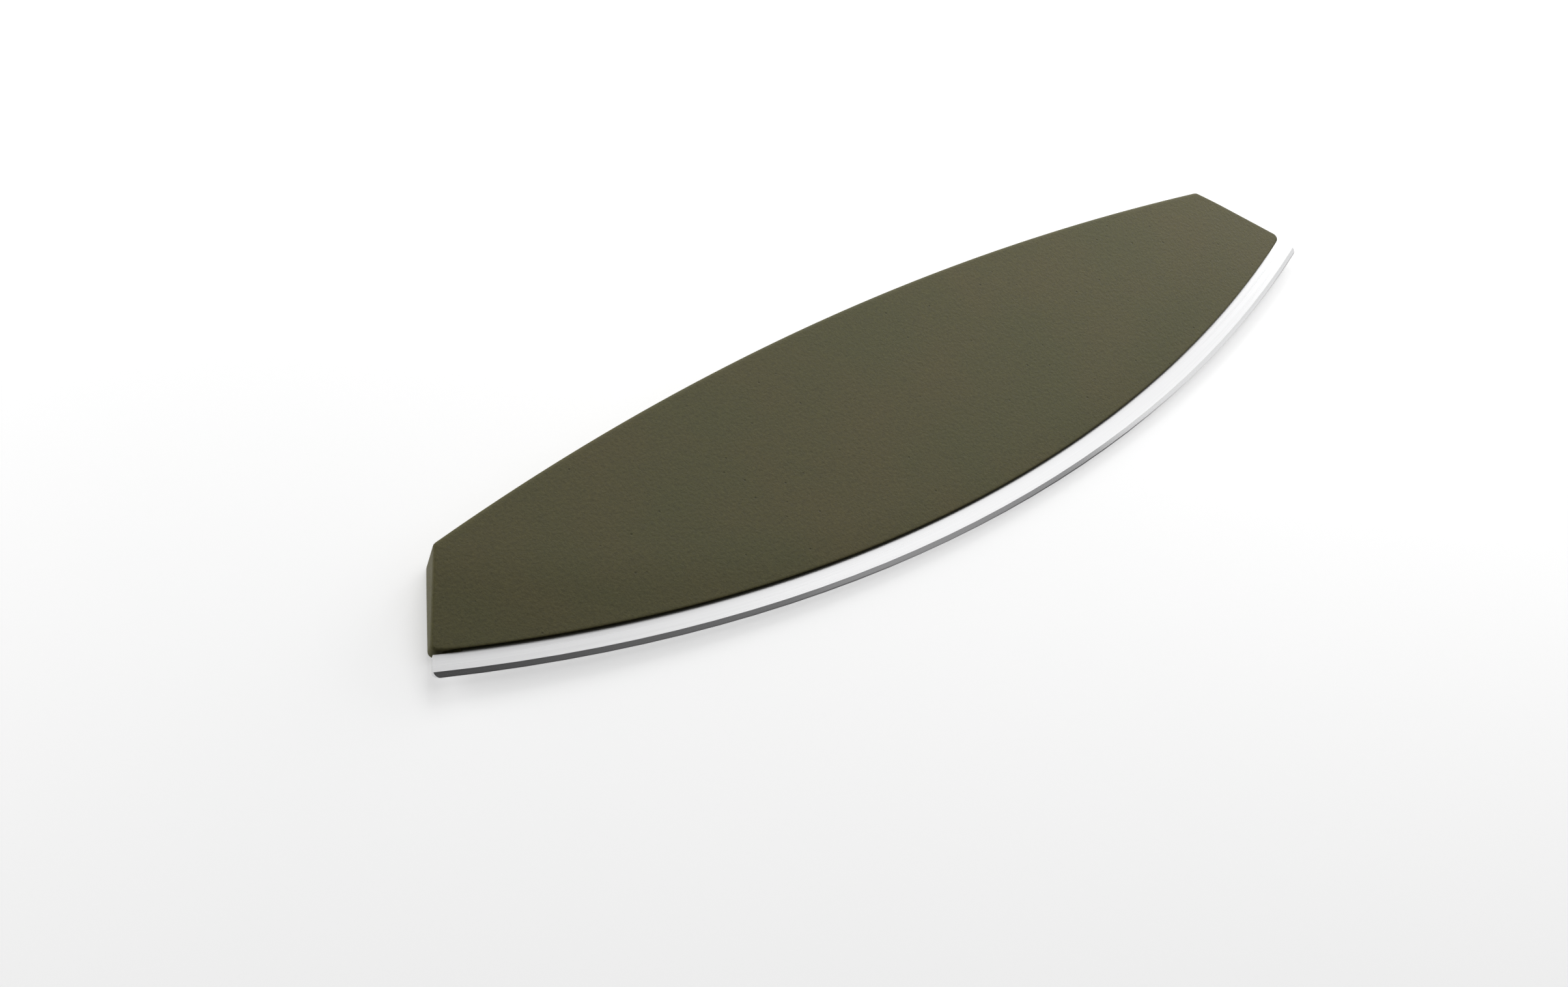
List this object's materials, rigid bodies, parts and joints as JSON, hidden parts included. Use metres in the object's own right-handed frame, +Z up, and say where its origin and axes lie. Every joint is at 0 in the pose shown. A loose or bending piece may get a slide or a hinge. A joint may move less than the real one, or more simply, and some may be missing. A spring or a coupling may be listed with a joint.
{
  "type": "rocking pizza knife",
  "caption": "Rocking knife for pizza and herbs: a long arc-edged steel blade under a soft, wedge-shaped full-length grip, with its riveted tang and hard core inside.",
  "frame": {"origin": "centre of the knife's footprint, on the surface that it lies on", "axes": "+X along the knife, +Y from the cutting edge to the spine, +Z up out of the front face; the grip's flat back lies on Z = 0"},
  "size_m": [0.3682, 0.0842, 0.0138],
  "materials": {
    "blade_steel": "brushed along the arc, ground bevel",
    "grip": "matt olive green, fine moulded grain",
    "core": "plain hard moulding",
    "rivet_steel": "plain"
  },
  "bodies": {
    "root": {"blade": "blade_steel", "grip_skin": "grip", "core_front": "core", "core_back": "core", "tang_rivet_1": "rivet_steel", "tang_rivet_2": "rivet_steel", "tang_rivet_3": "rivet_steel", "tang_rivet_4": "rivet_steel", "tang_rivet_5": "rivet_steel"}
  },
  "joints": []
}
